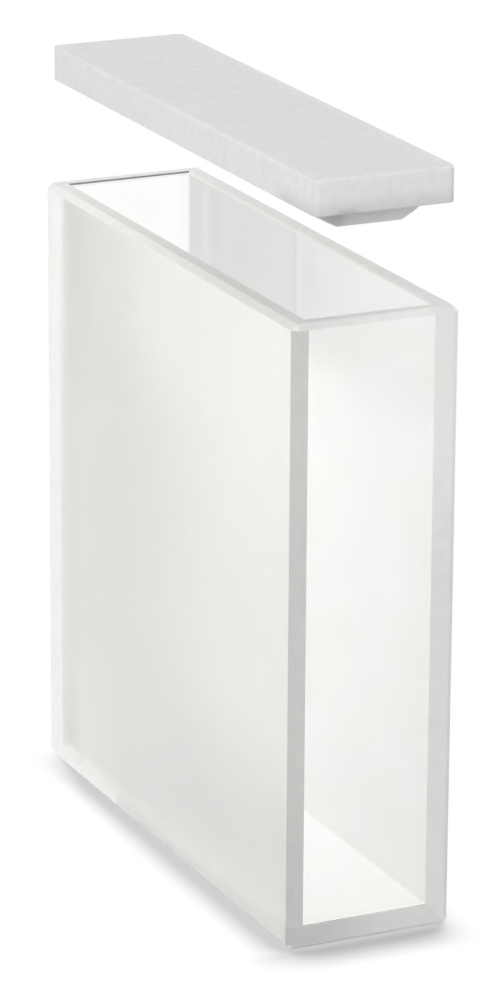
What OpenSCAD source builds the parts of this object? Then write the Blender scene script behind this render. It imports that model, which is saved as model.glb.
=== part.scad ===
/* [Glass cell] */
// Inside length between the two windows, which is the light path
path_l = 40; // [10:0.5:100]
// Inside width between the two ground side walls
inner_w = 9.5; // [6:0.1:20]
// Height of the cell without its lid
cell_h = 45; // [25:0.5:80]
// Thickness of each polished window
window_t = 1.25; // [0.8:0.05:2.5]
// Thickness of each ground side wall
wall_t = 1.5; // [1:0.05:3]
// Thickness of the base
base_t = 1.5; // [1:0.05:4]
// Bevel ground on every outside edge of the cell
edge_bevel = 0.4; // [0.1:0.05:0.45]
// Bevel on the inside edge of the mouth
mouth_bevel = 0.15; // [0.05:0.05:0.3]

/* [Lid plate] */
// Thickness of the lid's plate
plate_t = 2.5; // [1:0.1:5]
// How far the plate stands out past each window
end_overhang = 1; // [-0.5:0.05:2]
// How far the plate stands back from the outside of each side wall
side_setback = 1; // [0:0.05:1.1]
// Radius of the plate's four upright corners
plate_corner_r = 0.6; // [0.2:0.1:2]

/* [Lid boss] */
// Depth of the boss below the plate
boss_depth = 1.5; // [0.9:0.1:4]
// Upright part of the boss's sides, next to the plate
boss_wall_h = 0.35; // [0.2:0.05:0.8]
// Width of the flat underside of the boss
boss_sole_w = 4.8; // [2:0.1:5.2]
// Radius of the boss's four upright corners
boss_corner_r = 1.5; // [0.3:0.1:2.3]
// Clearance between the boss and each side wall
side_clearance = 0.15; // [0.05:0.05:0.4]
// Clearance between the boss and each window
end_clearance = 0.2; // [0.05:0.05:0.5]

/* [Lid position] */
// How far the lid is lifted straight up from its seat on the rim
lid_lift = 7.5; // [0:0.5:40]

/* [Hidden] */
$fn = 64;
cut_slack = 1;

// The cell stands on z = 0, with the middle of its underside at the origin.
// The light path runs along X and the ground side walls face +Y and -Y.
cell_l = path_l + 2 * window_t;
cell_w = inner_w + 2 * wall_t;

plate_l = cell_l + 2 * end_overhang;
plate_w = cell_w - 2 * side_setback;
boss_l = path_l - 2 * end_clearance;
boss_w = inner_w - 2 * side_clearance;

// A rectangle centred on the origin, with its four corners cut at 45 degrees.
module bevelled_rectangle(w, h, bevel) {
    x = w / 2;
    y = h / 2;
    polygon([
        [bevel - x, -y], [x - bevel, -y], [x, bevel - y], [x, y - bevel],
        [x - bevel, y], [bevel - x, y], [-x, y - bevel], [-x, bevel - y]
    ]);
}

// A block that stands on z = 0 with all twelve edges bevelled: it is what
// three bevelled prisms, one along each axis, have in common.
module bevelled_block(l, w, h, bevel) {
    intersection() {
        linear_extrude(h)
            bevelled_rectangle(l, w, bevel);
        translate([0, w / 2, h / 2])
            rotate([90, 0, 0])
                linear_extrude(w)
                    bevelled_rectangle(l, h, bevel);
        translate([-l / 2, 0, h / 2])
            rotate([90, 0, 90])
                linear_extrude(l)
                    bevelled_rectangle(w, h, bevel);
    }
}

// A plate that stands on z = 0, with round upright corners.
module round_cornered_plate(l, w, h, r) {
    translate([-l / 2, r - w / 2, 0])
        cube([l, w - 2 * r, h]);
    translate([r - l / 2, -w / 2, 0])
        cube([l - 2 * r, w, h]);
    for (x = [r - l / 2, l / 2 - r], y = [r - w / 2, w / 2 - r])
        translate([x, y, 0])
            cylinder(r = r, h = h);
}

// One side of the funnel that bevels the mouth: a slot as wide as the mouth
// that widens by one slope width on each side where it meets the rim.
module mouth_slot_profile(w) {
    x = w / 2;
    low = -mouth_bevel;
    polygon([
        [-x, low], [x, low], [x + mouth_bevel, 0], [x + mouth_bevel, cut_slack],
        [-x - mouth_bevel, cut_slack], [-x - mouth_bevel, 0]
    ]);
}

// The sloped edge of the mouth, cut where the two slots cross.
module mouth_bevel_cut() {
    reach_l = path_l + 2 * (mouth_bevel + cut_slack);
    reach_w = inner_w + 2 * (mouth_bevel + cut_slack);
    translate([0, 0, cell_h])
        intersection() {
            translate([0, reach_w / 2, 0])
                rotate([90, 0, 0])
                    linear_extrude(reach_w)
                        mouth_slot_profile(path_l);
            translate([-reach_l / 2, 0, 0])
                rotate([90, 0, 90])
                    linear_extrude(reach_l)
                        mouth_slot_profile(inner_w);
        }
}

// Two polished windows, two ground side walls and a base, fused into one
// open-topped glass box.
module cell() {
    color([0.9, 0.93, 0.93, 0.6])
        difference() {
            bevelled_block(cell_l, cell_w, cell_h, edge_bevel);
            translate([-path_l / 2, -inner_w / 2, base_t])
                cube([path_l, inner_w, cell_h - base_t + cut_slack]);
            mouth_bevel_cut();
        }
}

// The boss's cross-section: upright next to the plate, then sloping in to a
// narrow flat sole, so that it finds its own way into the mouth.
module boss_profile() {
    polygon([
        [-boss_w / 2, 0], [-boss_w / 2, -boss_wall_h], [-boss_sole_w / 2, -boss_depth],
        [boss_sole_w / 2, -boss_depth], [boss_w / 2, -boss_wall_h], [boss_w / 2, 0]
    ]);
}

module lid_boss() {
    intersection() {
        translate([-boss_l / 2, 0, 0])
            rotate([90, 0, 90])
                linear_extrude(boss_l)
                    boss_profile();
        translate([0, 0, -boss_depth])
            round_cornered_plate(boss_l, boss_w, boss_depth, boss_corner_r);
    }
}

// A plate that rests on the rim, with a shallow boss that drops into the mouth,
// machined from one piece of white plastic and lifted straight up off its seat.
module lid() {
    color([0.86, 0.86, 0.85])
        translate([0, 0, cell_h + lid_lift]) {
            round_cornered_plate(plate_l, plate_w, plate_t, plate_corner_r);
            lid_boss();
        }
}

cell();
lid();
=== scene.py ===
"""A quartz glass measuring cell with its loose white lid lifted above the mouth."""

import math

import bmesh
import bpy
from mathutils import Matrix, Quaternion, Vector


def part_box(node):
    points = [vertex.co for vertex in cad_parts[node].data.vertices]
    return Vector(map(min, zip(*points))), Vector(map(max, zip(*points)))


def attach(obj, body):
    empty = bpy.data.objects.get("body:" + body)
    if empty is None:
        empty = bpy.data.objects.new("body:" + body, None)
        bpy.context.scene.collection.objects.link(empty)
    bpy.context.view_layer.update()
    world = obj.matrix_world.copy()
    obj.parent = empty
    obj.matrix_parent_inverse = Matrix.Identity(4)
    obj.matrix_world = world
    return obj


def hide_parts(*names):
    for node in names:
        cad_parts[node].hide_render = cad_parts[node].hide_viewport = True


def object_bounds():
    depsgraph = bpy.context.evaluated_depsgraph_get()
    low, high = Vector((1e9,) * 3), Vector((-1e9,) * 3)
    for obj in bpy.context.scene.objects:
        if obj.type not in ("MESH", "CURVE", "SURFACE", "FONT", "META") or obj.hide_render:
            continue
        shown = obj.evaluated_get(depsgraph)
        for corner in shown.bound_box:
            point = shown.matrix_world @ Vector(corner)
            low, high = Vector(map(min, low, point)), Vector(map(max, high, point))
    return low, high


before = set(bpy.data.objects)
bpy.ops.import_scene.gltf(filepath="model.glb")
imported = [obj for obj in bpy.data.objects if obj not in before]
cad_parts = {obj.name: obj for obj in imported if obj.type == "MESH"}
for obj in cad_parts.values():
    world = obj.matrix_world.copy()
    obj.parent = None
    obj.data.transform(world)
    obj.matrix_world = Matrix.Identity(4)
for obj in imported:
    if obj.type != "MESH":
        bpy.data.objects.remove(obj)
cad_low, cad_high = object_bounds()

# The glass cell: two polished end windows, two ground side walls and a base,
# all fused quartz, melted together into one open-topped box. Its outer edges
# are ground to a small bevel, and the mouth has a finer one inside.
MM = 0.001
window_thickness = 1.25 * MM
wall_thickness = 1.5 * MM
base_thickness = 1.5 * MM
outer_bevel = 0.4 * MM
mouth_bevel = 0.15 * MM
edge_softness = 0.04 * MM
edge_steps = 2
sharp_angle = math.radians(25)
square_on = 0.99
touching = 0.01 * MM
cut_tolerance = 0.001 * MM
quartz_ior = 1.458
# Each window is clear from one side of its view to the other and above the
# view's bottom, and matt round that.
front_view = (-5.12 * MM, 4.35 * MM)
back_view = (-4.35 * MM, 5.15 * MM)
view_bottom = 1.8 * MM
# The back end of the walls is painted lighter, standing in for light that comes
# through the back window, and a sliver along the foot of the left side, which has
# a rounded corner, is a painted highlight.
painted_light_end = -18.55 * MM
painted_highlight_end = -8.1 * MM
painted_highlight_top = 1.1 * MM
painted_highlight_corner = 0.5 * MM

cell_low, cell_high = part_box("cell")
cell_size = cell_high - cell_low
cell_middle = (cell_low + cell_high) / 2
mouth_length = cell_size.x - 2 * window_thickness
mouth_width = cell_size.y - 2 * wall_thickness
inside_depth = cell_size.z - base_thickness


def start_block(name, low, high):
    """A block between two corners, with its place in its mesh, open in edit mode."""
    bpy.ops.object.select_all(action="DESELECT")
    bpy.ops.mesh.primitive_cube_add(size=1, location=(low + high) / 2, scale=high - low)
    bpy.ops.object.transform_apply(location=True, rotation=True, scale=True)
    block = bpy.context.object
    block.name = name
    block.data.name = name
    bpy.ops.object.mode_set(mode="EDIT")
    bpy.ops.mesh.select_all(action="DESELECT")
    return block


def pick_faces(wanted):
    """In the piece being edited, select just the faces that wanted(face) is true of."""
    bpy.ops.mesh.select_mode(type="FACE")
    bpy.ops.mesh.select_all(action="DESELECT")
    mesh = bmesh.from_edit_mesh(bpy.context.edit_object.data)
    for face in mesh.faces:
        if wanted(face):
            face.select_set(True)
    bmesh.update_edit_mesh(bpy.context.edit_object.data)


def pick_edges(wanted):
    """In the piece being edited, select just the edges that wanted(edge) is true of."""
    bpy.ops.mesh.select_mode(type="EDGE")
    bpy.ops.mesh.select_all(action="DESELECT")
    mesh = bmesh.from_edit_mesh(bpy.context.edit_object.data)
    for edge in mesh.edges:
        if wanted(edge):
            edge.select_set(True)
    bmesh.update_edit_mesh(bpy.context.edit_object.data)


def soften_edges(width):
    """In the piece being edited, round every sharp outward edge by a small width."""
    pick_edges(lambda edge: edge.is_convex and edge.calc_face_angle(0) > sharp_angle)
    bpy.ops.mesh.bevel(offset=width, segments=edge_steps, affect="EDGES")


def on_outside(point):
    """How many of the cell's outer planes a point of its mesh lies in."""
    return sum(
        min(abs(point[i] - cell_low[i]), abs(point[i] - cell_high[i])) < touching
        for i in range(3)
    )


def on_mouth(edge):
    """True of the four edges where the rim meets the inside faces."""
    return all(
        abs(vertex.co.z - cell_high.z) < touching
        and abs(vertex.co.x) < mouth_length / 2 + touching
        and abs(vertex.co.y) < mouth_width / 2 + touching
        for vertex in edge.verts
    )


cell = start_block("glass_cell", cell_low, cell_high)
pick_faces(lambda face: face.normal.z > square_on)
bpy.ops.mesh.inset(thickness=window_thickness)
inset_width = cell_size.y - 2 * window_thickness
bpy.ops.transform.resize(
    value=(1, mouth_width / inset_width, 1),
    center_override=(cell_middle.x, cell_middle.y, cell_high.z),
)
bpy.ops.mesh.extrude_region_move(
    TRANSFORM_OT_translate={"value": (0, 0, -inside_depth)}
)
pick_edges(on_mouth)
bpy.ops.mesh.bevel(offset=mouth_bevel, segments=1, affect="EDGES")
pick_edges(lambda edge: all(on_outside(vertex.co) >= 3 for vertex in edge.verts))
bpy.ops.mesh.bevel(offset=outer_bevel, segments=1, affect="EDGES")
soften_edges(edge_softness)


def score(wanted, point, normal):
    """Cut the picked faces of the piece being edited along a plane."""
    pick_faces(wanted)
    bpy.ops.mesh.bisect(plane_co=point, plane_no=normal, threshold=cut_tolerance)


def on_window(face):
    """True of the outer faces of the two window plates."""
    outside = abs(face.calc_center_median().x) > cell_high.x - touching
    return outside and abs(face.normal.x) > square_on


def on_side(face):
    """True of the outer faces of the two ground side walls."""
    outside = abs(face.calc_center_median().y) > cell_high.y - touching
    return outside and abs(face.normal.y) > square_on


def on_left_side(face):
    """True of the outer face of the left wall."""
    return on_side(face) and face.normal.y < 0


def on_left_foot(face):
    """True of the strip along the foot of the left wall."""
    return on_left_side(face) and face.calc_center_median().z < painted_highlight_top


for edge in front_view:
    score(lambda face: on_window(face) and face.normal.x > 0, (0, edge, 0), (0, 1, 0))
for edge in back_view:
    score(lambda face: on_window(face) and face.normal.x < 0, (0, edge, 0), (0, 1, 0))
score(on_window, (0, 0, view_bottom), (0, 0, 1))
score(on_side, (painted_light_end, 0, 0), (1, 0, 0))
score(on_left_side, (0, 0, painted_highlight_top), (0, 0, 1))
score(on_left_foot, (painted_highlight_end, 0, 0), (1, 0, 0))
# Two short cuts round the sliver's top corner.
for turn in (30, 60):
    slope = math.radians(turn)
    outward = Vector((math.cos(slope), 0, math.sin(slope)))
    corner = Vector((painted_highlight_end, 0, painted_highlight_top))
    inset = Vector((math.sin(slope), 0, math.cos(slope))) * painted_highlight_corner
    score(on_left_foot, corner - inset, outward)
bpy.ops.object.mode_set(mode="OBJECT")


white = (1, 1, 1, 1)
grit_size = 0.12 * MM
grit_depth = 0.01 * MM
bump_strength = 0.6


class Finish:
    """A material being made: its shader, and nodes fed by numbers or each other."""

    def __init__(self, name):
        self.material = bpy.data.materials.new(name)
        self.material.use_nodes = True
        self.tree = self.material.node_tree
        self.shader = self.tree.nodes["Principled BSDF"]

    def set(self, socket, value):
        """Give a node's input a number, a colour or another node's output."""
        if isinstance(value, bpy.types.NodeSocket):
            self.tree.links.new(value, socket)
        else:
            socket.default_value = value

    def place(self, axis=None):
        """Object coordinates, or one axis of them."""
        coordinates = self.tree.nodes.new("ShaderNodeTexCoord").outputs["Object"]
        if axis is None:
            return coordinates
        axes = self.tree.nodes.new("ShaderNodeSeparateXYZ")
        self.set(axes.inputs[0], coordinates)
        return axes.outputs[axis]

    def math(self, operation, first, second=0.0):
        """One step of arithmetic."""
        step = self.tree.nodes.new("ShaderNodeMath")
        step.operation = operation
        self.set(step.inputs[0], first)
        self.set(step.inputs[1], second)
        return step.outputs["Value"]

    def product(self, first, *others):
        """Everything given, multiplied together."""
        for other in others:
            first = self.math("MULTIPLY", first, other)
        return first

    def rise(self, value, start, end, low=0.0, high=1.0):
        """A smooth rise from low to high while value goes from start to end."""
        step = self.tree.nodes.new("ShaderNodeMapRange")
        step.interpolation_type = "SMOOTHSTEP"
        for name, given in (
            ("Value", value),
            ("From Min", start),
            ("From Max", end),
            ("To Min", low),
            ("To Max", high),
        ):
            self.set(step.inputs[name], given)
        return step.outputs["Result"]

    def noise(self, size, detail):
        """Cloudy noise from 0 to 1, with lumps of one size, in metres."""
        noise = self.tree.nodes.new("ShaderNodeTexNoise")
        noise.inputs["Scale"].default_value = 1 / size
        noise.inputs["Detail"].default_value = detail
        self.set(noise.inputs["Vector"], self.place())
        return noise.outputs["Fac"]

    def blend(self, factor, first, second):
        """A colour between two colours."""
        mix = self.tree.nodes.new("ShaderNodeMix")
        mix.data_type = "RGBA"
        self.set(mix.inputs["Factor"], factor)
        self.set(mix.inputs["A"], first)
        self.set(mix.inputs["B"], second)
        return mix.outputs["Result"]

    def scale(self, colour, factor):
        """A colour made lighter or darker."""
        step = self.tree.nodes.new("ShaderNodeVectorMath")
        step.operation = "SCALE"
        if isinstance(colour, tuple):
            colour = colour[:3]
        self.set(step.inputs[0], colour)
        self.set(step.inputs["Scale"], factor)
        return step.outputs["Vector"]

    def bump(self, height_map, height):
        """A surface normal from a height map, at a full height in metres."""
        bump = self.tree.nodes.new("ShaderNodeBump")
        bump.inputs["Strength"].default_value = bump_strength
        bump.inputs["Distance"].default_value = height
        self.set(bump.inputs["Height"], height_map)
        self.set(self.shader.inputs["Normal"], bump.outputs["Normal"])


def tone(level):
    """A grey with the faint warmth of the ground quartz."""
    return (level, 0.992 * level, 0.975 * level, 1)


def polished_quartz():
    """Clear polished quartz, with a very faint bloom in clouds."""
    finish = Finish("polished_quartz")
    finish.shader.inputs["IOR"].default_value = quartz_ior
    finish.shader.inputs["Transmission Weight"].default_value = 1
    finish.shader.inputs["Roughness"].default_value = 0
    bloom = finish.rise(finish.noise(6 * MM, 3), 0.4, 0.7)
    colour = finish.blend(bloom, white, tone(0.994))
    finish.set(finish.shader.inputs["Base Color"], colour)
    return finish.material


def ground_quartz(name, roughness, painted_shade, clearness):
    """Quartz ground with grit: milky, with a very fine even grain.

    roughness(finish), the painted shade function and clearness(finish) give the
    patterns of how coarse the grit left it, how grey the painted shade makes it and
    how much light it lets through.
    """
    finish = Finish(name)
    finish.shader.inputs["IOR"].default_value = quartz_ior
    finish.set(finish.shader.inputs["Transmission Weight"], clearness(finish))
    cloud = finish.rise(finish.noise(3 * MM, 4), 0.3, 0.7)
    shade = finish.rise(cloud, 0, 1, 0.985, 1)
    finish.set(finish.shader.inputs["Base Color"], finish.scale(painted_shade(finish), shade))
    unevenness = finish.product(cloud, 0.03)
    rough = finish.math("ADD", roughness(finish), unevenness)
    finish.set(finish.shader.inputs["Roughness"], rough)
    finish.bump(finish.noise(grit_size, 3), grit_depth)
    return finish.material


def left_wall_roughness(finish):
    """Finest along the base, coarser to the top front corner and below the rim."""
    x = finish.place("X")
    z = finish.place("Z")
    finest = 0.54
    off_base = finish.rise(z, 3 * MM, 14 * MM, 0, 0.27)
    to_top = finish.rise(z, 20 * MM, 38 * MM, 0, 0.12)
    to_front = finish.rise(x, -24 * MM, 10 * MM)
    coarser = finish.product(finish.math("ADD", off_base, to_top), to_front)
    below_rim = finish.product(
        finish.rise(z, 28 * MM, 38 * MM, 0, 0.22),
        finish.rise(x, -24 * MM, -15 * MM),
        finish.rise(x, 4 * MM, -10 * MM),
    )
    return finish.math("ADD", finest, finish.math("ADD", coarser, below_rim))


def left_wall_painted_shade(finish):
    """Painted shade: a little greyer along the base, over its front part."""
    off_base = finish.rise(finish.place("Z"), 3 * MM, 9 * MM)
    to_back = finish.rise(finish.place("X"), -6 * MM, -14 * MM)
    return finish.blend(finish.math("MAXIMUM", off_base, to_back), tone(0.94), tone(1))


def left_wall_clearness(finish):
    """Clear, but milkier towards the back."""
    x = finish.place("X")
    z = finish.place("Z")
    at_back = finish.math(
        "ADD",
        finish.rise(x, -5 * MM, -12 * MM, 0, 0.13),
        finish.rise(x, 4 * MM, -6 * MM, 0, 0.1),
    )
    milkiness = finish.product(at_back, finish.rise(z, 3 * MM, 8 * MM))
    return finish.math("SUBTRACT", 1, milkiness)


def right_wall_roughness(finish):
    """Finest towards the front, and along the top."""
    along = finish.rise(finish.place("X"), 0, 12 * MM, 0.62, 0.52)
    below_top = finish.rise(finish.place("Z"), 40 * MM, 34 * MM, 0.55, 1)
    return finish.product(along, below_top)


def right_wall_painted_shade(finish):
    """Painted shade: greyer along the top, most over its back half with a sharp step, and a little
    at the front end and low down.
    """
    x = finish.place("X")
    z = finish.place("Z")
    back = finish.blend(finish.rise(x, -6 * MM, -17 * MM), tone(0.7), tone(0.58))
    front = finish.blend(finish.rise(x, -2 * MM, 9 * MM), tone(0.88), tone(0.94))
    top = finish.blend(finish.rise(x, -2.7 * MM, -2.1 * MM), back, front)
    low = finish.blend(finish.rise(z, 6 * MM, 14 * MM), tone(0.97), tone(1))
    middle = finish.blend(finish.rise(x, 12 * MM, 16 * MM), low, tone(0.94))
    top_start = finish.rise(x, -2 * MM, 2 * MM, 35 * MM, 26 * MM)
    return finish.blend(finish.rise(z, top_start, 38 * MM), middle, top)


def right_wall_clearness(finish):
    """Clear all over."""
    return 1.0


def matt_quartz_painted_shade(name, clearness, back, front_left, front_right):
    """Quartz ground by hand, a little greyer, with painted light and shade: a tone for each part of
    the cell.
    """
    finish = Finish(name)
    finish.shader.inputs["IOR"].default_value = quartz_ior
    finish.shader.inputs["Transmission Weight"].default_value = clearness
    finish.shader.inputs["Roughness"].default_value = 0.6
    x = finish.place("X")
    y = finish.place("Y")
    z = finish.place("Z")
    # Painted light and shade: the back, the front left and the front right each get a grey, and the
    # front right is painted lighter towards the top.
    right_top = tone(min(1, 1.2 * front_right))
    right = finish.blend(finish.rise(z, 22 * MM, cell_high.z), tone(front_right), right_top)
    front = finish.blend(finish.rise(y, -5 * MM, 2 * MM), tone(front_left), right)
    grey = finish.blend(finish.rise(x, 14 * MM, -19 * MM), front, tone(back))
    # Painted shade: the front frame's foot is darker, up to a mitre with its right upright.
    mitre_softness = 0.1 * MM
    past_mitre = finish.rise(
        finish.math("ADD", y, z), cell_high.y - mitre_softness, cell_high.y + mitre_softness
    )
    above_foot = finish.rise(z, view_bottom - mitre_softness, view_bottom)
    behind = finish.rise(x, 1 * MM, 0)
    off_foot = finish.math("MAXIMUM", past_mitre, finish.math("MAXIMUM", above_foot, behind))
    cloud = finish.rise(finish.noise(1 * MM, 4), 0.3, 0.7, 0.96, 1)
    shade = finish.product(cloud, finish.rise(off_foot, 0, 1, 0.93, 1))
    finish.set(finish.shader.inputs["Base Color"], finish.scale(grey, shade))
    finish.bump(finish.noise(grit_size, 3), grit_depth)
    return finish.material


cell_finishes = {
    "polished": polished_quartz(),
    "ground_left": ground_quartz(
        "ground_left", left_wall_roughness, left_wall_painted_shade, left_wall_clearness
    ),
    "ground_right": ground_quartz(
        "ground_right", right_wall_roughness, right_wall_painted_shade, right_wall_clearness
    ),
    # Painted light: the lighter finish for the back end of the walls and the painted highlight
    # along the left foot.
    "end": matt_quartz_painted_shade("matt_end_painted_light", clearness=0.15, back=0.98, front_left=0.98, front_right=0.98),
    "back": matt_quartz_painted_shade("matt_back", clearness=0.6, back=0.95, front_left=0.95, front_right=0.95),
    # Painted shade: the grey frame round the front window's view stands in for the side walls seen
    # through it, darker on the left.
    "frame": matt_quartz_painted_shade("matt_frame_painted_shade", clearness=0.25, back=0.59, front_left=0.6, front_right=0.78),
    # Painted shade: the front left upright bevel is dark grey.
    "corner": matt_quartz_painted_shade("matt_corner_painted_shade", clearness=0.25, back=0.5, front_left=0.5, front_right=0.5),
    # Painted shade: the front foot bevel is greyer, more on the left.
    "foot": matt_quartz_painted_shade("matt_foot_painted_shade", clearness=0.15, back=0.8, front_left=0.8, front_right=0.9),
    # Painted shade: the rim is greyer at the front than at the back.
    "rim": matt_quartz_painted_shade("matt_rim_painted_shade", clearness=0.2, back=1, front_left=0.75, front_right=0.73),
    # Painted shade: a dark line on the inner face of the back rim.
    "lip": matt_quartz_painted_shade("matt_lip_painted_shade", clearness=0.1, back=0.25, front_left=0.25, front_right=0.25),
}
for quartz in cell_finishes.values():
    cell.data.materials.append(quartz)

past_rounding = edge_softness + 0.02 * MM
mouth_edge_depth = 1 * MM
inside_frame = 4 * MM


def finish_of(face):
    """Which of the cell's finishes a face of its mesh has."""
    x, y, z = face.center
    along_x, along_y = (abs(part) > 0.9 for part in face.normal[:2])
    in_length = abs(x) < mouth_length / 2 + past_rounding
    in_width = abs(y) < mouth_width / 2 + past_rounding
    in_depth = z > base_thickness - past_rounding
    on_side_lip = z > cell_high.z - mouth_edge_depth and abs(face.normal.x) < 0.5
    if in_length and in_width and in_depth and not on_side_lip:
        return "polished"
    if z > cell_high.z - outer_bevel - past_rounding:
        on_back_lip = face.normal.x > 0.5 and x < 0
        return "lip" if on_back_lip else "rim"
    at_front = x > cell_high.x - outer_bevel - past_rounding
    if z < outer_bevel + past_rounding:
        return "foot" if at_front and face.normal.x > 0.3 else "ground_left"
    if at_front and y < 0 and not along_x and not along_y:
        return "corner"
    if along_x and abs(y) < inside_frame and z > inside_frame:
        return "polished"
    # Painted light at the back end of the walls, and a painted highlight in the sliver along the
    # left foot.
    if x < painted_light_end and along_x:
        return "back"
    if x < painted_light_end:
        return "end" if y < 0 else "ground_right"
    if along_y and y > 0:
        return "ground_right"
    if along_y:
        in_sliver = z < painted_highlight_top and x < painted_highlight_end - painted_highlight_corner
        return "end" if in_sliver else "ground_left"
    return "frame"


finish_order = list(cell_finishes)
for face in cell.data.polygons:
    face.material_index = finish_order.index(finish_of(face))
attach(cell, "root")
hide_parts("cell")

# The lid: one machined piece of white PTFE. Its plate lies on the rim, and a
# shallow boss under it, sloped along its long sides, drops into the mouth.
plate_thickness = 2.5 * MM
plate_corner_radius = 0.6 * MM
plate_corner_steps = 6
end_clearance = 0.2 * MM
side_clearance = 0.15 * MM
boss_length = mouth_length - 2 * end_clearance
boss_width = mouth_width - 2 * side_clearance
boss_corner_radius = 1.5 * MM
boss_corner_steps = 10
boss_upright = 0.35 * MM
boss_sole_width = 4.8 * MM
lid_edge_softness = 0.1 * MM

lid_low, lid_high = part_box("lid")
plate_bottom = lid_high.z - plate_thickness
boss_depth = plate_bottom - lid_low.z


def upright(edge):
    """True of an edge that runs straight up."""
    along = edge.verts[1].co - edge.verts[0].co
    return abs(along.z) > square_on * along.length


lid = start_block("ptfe_lid", Vector((lid_low.x, lid_low.y, plate_bottom)), lid_high)
pick_edges(upright)
bpy.ops.mesh.bevel(
    offset=plate_corner_radius, segments=plate_corner_steps, affect="EDGES"
)
bpy.ops.object.mode_set(mode="OBJECT")

boss_into_plate = 1 * MM
boss = start_block(
    "boss",
    Vector((-boss_length / 2, -boss_width / 2, lid_low.z)),
    Vector((boss_length / 2, boss_width / 2, plate_bottom + boss_into_plate)),
)
pick_edges(upright)
bpy.ops.mesh.bevel(
    offset=boss_corner_radius, segments=boss_corner_steps, affect="EDGES"
)
slope_run = (boss_width - boss_sole_width) / 2
slope_drop = boss_depth - boss_upright
for side in (-1, 1):
    bpy.ops.mesh.select_all(action="SELECT")
    bpy.ops.mesh.bisect(
        plane_co=(0, side * boss_width / 2, plate_bottom - boss_upright),
        plane_no=Vector((0, side * slope_drop, -slope_run)).normalized(),
        clear_outer=True,
        use_fill=True,
        threshold=cut_tolerance,
    )
bpy.ops.object.mode_set(mode="OBJECT")

bpy.ops.object.select_all(action="DESELECT")
bpy.context.view_layer.objects.active = lid
union = lid.modifiers.new("union", "BOOLEAN")
union.operation = "UNION"
union.object = boss
bpy.ops.object.modifier_apply(modifier=union.name)
bpy.data.objects.remove(boss)
bpy.ops.object.mode_set(mode="EDIT")
soften_edges(lid_edge_softness)
bpy.ops.object.mode_set(mode="OBJECT")


def machined_ptfe():
    """White PTFE, matt and faintly cloudy from the cutter, with a darker smudge low on each end and
    painted shade low on the front end, at the front left corner and on the boss.
    """
    finish = Finish("machined_ptfe")
    finish.shader.inputs["Roughness"].default_value = 0.5
    finish.shader.inputs["Subsurface Weight"].default_value = 0.3
    finish.shader.inputs["Subsurface Radius"].default_value = (1.0, 1.0, 1.0)
    finish.shader.inputs["Subsurface Scale"].default_value = 1 * MM
    x = finish.place("X")
    y = finish.place("Y")
    z = finish.place("Z")
    cloud = finish.rise(finish.noise(0.6 * MM, 5), 0.3, 0.7)
    unshaded = finish.blend(cloud, tone(0.715), tone(0.755))
    # Painted shade: the lower part of the front end is greyer, the boss half as much.
    low = finish.rise(z, plate_bottom + 1.5 * MM, plate_bottom - 0.5 * MM)
    on_plate = finish.rise(z, plate_bottom - 0.2 * MM, plate_bottom + 0.1 * MM, 0.5, 1)
    painted_low_shade = finish.product(low, on_plate, finish.rise(x, 15 * MM, 18 * MM))
    colour = finish.blend(painted_low_shade, unshaded, tone(0.555))
    # A smudge low on each end is darker, and painted shade darkens the front left
    # corner and the boss's left side.
    smudge = finish.product(
        finish.rise(y, -4.3 * MM, -3 * MM),
        finish.rise(y, -1.4 * MM, -2.6 * MM),
        finish.rise(z, plate_bottom + 0.7 * MM, plate_bottom),
    )
    corner_reach = lid_high.x - lid_low.y
    corner = finish.rise(
        finish.math("SUBTRACT", x, y), corner_reach - 0.65 * MM, corner_reach - 0.4 * MM, 1, 0.9
    )
    below_plate = finish.rise(z, plate_bottom + 0.1 * MM, plate_bottom - 0.2 * MM)
    boss_shade = finish.product(below_plate, finish.rise(y, 2 * MM, -4 * MM, 0, 0.13))
    shade = finish.product(
        finish.rise(smudge, 0, 1, 1, 0.8), corner, finish.math("SUBTRACT", 1, boss_shade)
    )
    finish.set(finish.shader.inputs["Base Color"], finish.scale(colour, shade))
    finish.bump(finish.noise(0.3 * MM, 3), 0.015 * MM)
    return finish.material


lid.data.materials.append(machined_ptfe())
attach(lid, "root")
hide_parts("lid")

# The studio: a floor of pale paper under an even sky, and soft lamps to the left
# of the camera and behind the cell. To the eye and through the glass the floor
# is plain white; to the eye it has a painted contact shadow where the cell
# stands close, from ambient occlusion.
floor_size = 3.0
floor_gap = 0.02 * MM
paper_grey = 0.6
back_shade_reach = 2 * MM
side_shade_reach = 2.45 * MM
front_shade_reach = 4 * MM
bpy.ops.object.select_all(action="DESELECT")
bpy.ops.mesh.primitive_plane_add(size=floor_size, location=(0, 0, -floor_gap))
bpy.ops.object.transform_apply(location=True, rotation=True, scale=True)
floor = bpy.context.object
floor.name = "floor"
paint = Finish("floor_paint")
paint.shader.inputs["Base Color"].default_value = (*3 * (paper_grey,), 1)
paint.shader.inputs["Roughness"].default_value = 0.9
paint.shader.inputs["Specular IOR Level"].default_value = 0
contact = paint.tree.nodes.new("ShaderNodeAmbientOcclusion")
floor_x = paint.place("X")
floor_y = paint.place("Y")
in_front = paint.rise(floor_x, cad_high.x - 2 * MM, cad_high.x)
along_side = paint.rise(floor_x, -15 * MM, 8 * MM, back_shade_reach, side_shade_reach)
reach = paint.rise(in_front, 0, 1, along_side, front_shade_reach)
paint.set(contact.inputs["Distance"], reach)
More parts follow.
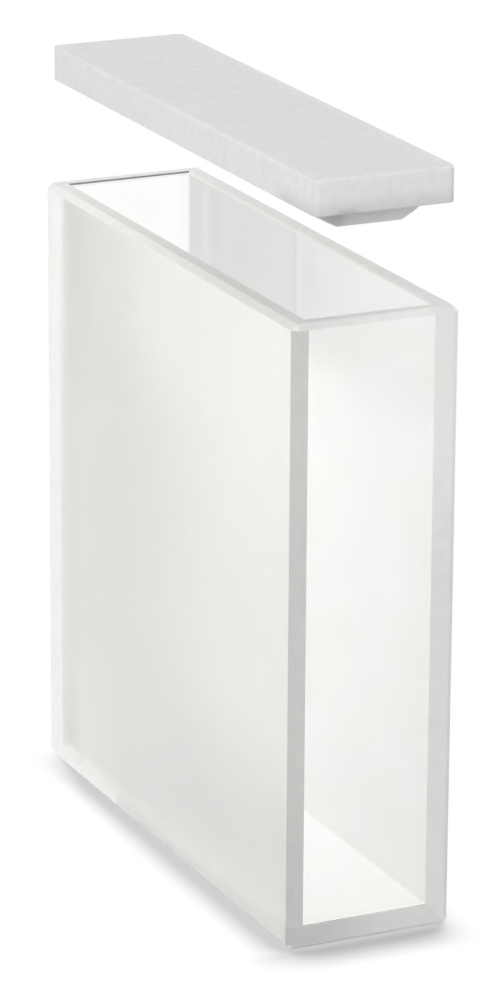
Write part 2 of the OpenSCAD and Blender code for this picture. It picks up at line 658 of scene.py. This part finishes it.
# Painted shadow: the occlusion's depth is scaled by place, deeper in front and fading out at the
# back end and on the right.
depth = paint.product(
    paint.math("SUBTRACT", 1, contact.outputs["AO"]),
    paint.rise(in_front, 0, 1, 1, 1.45),
    paint.rise(floor_x, -24 * MM, -12 * MM),
    paint.rise(floor_y, 8.5 * MM, 4 * MM),
)
darkest = paint.rise(in_front, 0, 1, 0.63, 0.49)
shaded = paint.math("MAXIMUM", paint.math("SUBTRACT", 1, depth), darkest)
ray = paint.tree.nodes.new("ShaderNodeLightPath").outputs
in_glass = paint.math("MAXIMUM", ray["Is Glossy Ray"], ray["Is Transmission Ray"])
glow = paint.tree.nodes.new("ShaderNodeEmission")
paint.set(glow.inputs["Strength"], paint.math("MAXIMUM", shaded, in_glass))
floor_mix = paint.tree.nodes.new("ShaderNodeMixShader")
eye_or_glass = paint.math("MAXIMUM", ray["Is Camera Ray"], in_glass)
paint.set(floor_mix.inputs["Fac"], eye_or_glass)
paint.set(floor_mix.inputs[1], paint.shader.outputs["BSDF"])
paint.set(floor_mix.inputs[2], glow.outputs["Emission"])
surface = paint.tree.nodes["Material Output"].inputs["Surface"]
paint.set(surface, floor_mix.outputs["Shader"])
floor.data.materials.append(paint.material)

sky_level = 0.7
world = bpy.data.worlds.new("studio")
bpy.context.scene.world = world
world.use_nodes = True
sky = world.node_tree
seen_sky = sky.nodes["Background"]
seen_sky.inputs["Color"].default_value = white
seen_sky.inputs["Strength"].default_value = 1
lighting_sky = sky.nodes.new("ShaderNodeBackground")
lighting_sky.inputs["Color"].default_value = white
lighting_sky.inputs["Strength"].default_value = sky_level
path = sky.nodes.new("ShaderNodeLightPath")
sky_mix = sky.nodes.new("ShaderNodeMixShader")
sky.links.new(path.outputs["Is Diffuse Ray"], sky_mix.inputs[0])
sky.links.new(seen_sky.outputs[0], sky_mix.inputs[1])
sky.links.new(lighting_sky.outputs[0], sky_mix.inputs[2])
sky.links.new(sky_mix.outputs[0], sky.nodes["World Output"].inputs["Surface"])

lamp_aim = Vector((0, 0, 30 * MM))


def soft_lamp(name, place, size, power):
    """A round soft box at a place, aimed at the upper half of the cell."""
    lamp_data = bpy.data.lights.new(name, "AREA")
    lamp_data.shape = "DISK"
    lamp_data.size = size
    lamp_data.energy = power
    lamp = bpy.data.objects.new(name, lamp_data)
    bpy.context.scene.collection.objects.link(lamp)
    lamp.location = place
    towards_cell = lamp_aim - lamp.location
    lamp.rotation_euler = towards_cell.to_track_quat("-Z", "Y").to_euler()


soft_lamp("side_box", (0.42, -0.48, 0.22), 0.5, 2.4)
soft_lamp("back_box", (-0.15, 0.3, 0.1), 0.2, 0.6)

# The camera: a long lens, a little above the rim, looking at the front window
# and the long ground side.
camera_azimuth = math.radians(64.867)
camera_elevation = math.radians(17.86)
camera_distance = 350.57 * MM
camera_roll = math.radians(0.368)
aim = Vector((0.749, 0.297, 25.987)) * MM
camera_data = bpy.data.cameras.new("camera")
camera_data.lens = 176.23
camera_data.sensor_width = 36
camera_data.clip_start = 0.01
camera = bpy.data.objects.new("camera", camera_data)
bpy.context.scene.collection.objects.link(camera)
bpy.context.scene.camera = camera
backwards = Vector(
    (
        math.sin(camera_azimuth) * math.cos(camera_elevation),
        -math.cos(camera_azimuth) * math.cos(camera_elevation),
        math.sin(camera_elevation),
    )
)
camera.location = aim + camera_distance * backwards
camera.rotation_mode = "QUATERNION"
level = backwards.to_track_quat("Z", "Y")
camera.rotation_quaternion = level @ Quaternion((0, 0, 1), camera_roll)
bpy.context.scene.view_settings.view_transform = "Standard"
